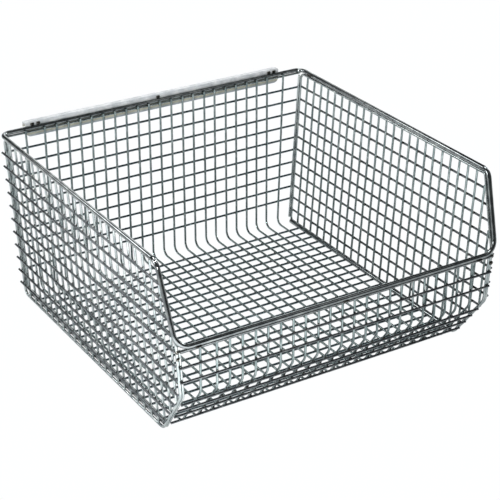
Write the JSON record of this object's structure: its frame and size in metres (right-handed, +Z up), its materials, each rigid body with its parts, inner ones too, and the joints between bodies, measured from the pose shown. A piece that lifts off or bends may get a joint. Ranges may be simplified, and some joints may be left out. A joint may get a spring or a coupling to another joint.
{
  "type": "wire mesh container",
  "caption": "Open-topped welded wire mesh bin with a heavy rim, a dropped hopper front with a slanted lower edge, and a folded rail for hanging it on a louvred panel.",
  "frame": {"origin": "centre of the underside of the bin's bounding box, on the surface that it stands on", "axes": "+X towards the bin's right side as seen from its open front, +Y towards the hanging rail at the back, +Z up"},
  "size_m": [0.3822, 0.3812, 0.1986],
  "materials": {
    "heavy_wire": "bright plated steel wire",
    "mesh_wire": "bright plated steel wire, slightly dulled",
    "rail_sheet": "plated sheet steel",
    "weld": "dull plated-over weld metal"
  },
  "bodies": {
    "root": {"rim_wire": "heavy_wire", "lip_rod": "heavy_wire", "left_side_frame": "heavy_wire", "right_side_frame": "heavy_wire", "left_runner": "heavy_wire", "right_runner": "heavy_wire", "back_top_rod": "mesh_wire", "left_uprights": "mesh_wire", "right_uprights": "mesh_wire", "left_side_rows": "mesh_wire", "right_side_rows": "mesh_wire", "back_rows": "mesh_wire", "floor_rows": "mesh_wire", "chamfer_rows": "mesh_wire", "front_rows": "mesh_wire", "bent_wires": "mesh_wire", "left_end_wire": "mesh_wire", "right_end_wire": "mesh_wire", "left_front_corner_wire": "mesh_wire", "right_front_corner_wire": "mesh_wire", "left_rear_corner_wire": "mesh_wire", "right_rear_corner_wire": "mesh_wire", "rim_joint_weld": "weld", "lip_welds": "weld", "rail_welds": "weld", "hanging_rail": "rail_sheet"}
  },
  "joints": []
}
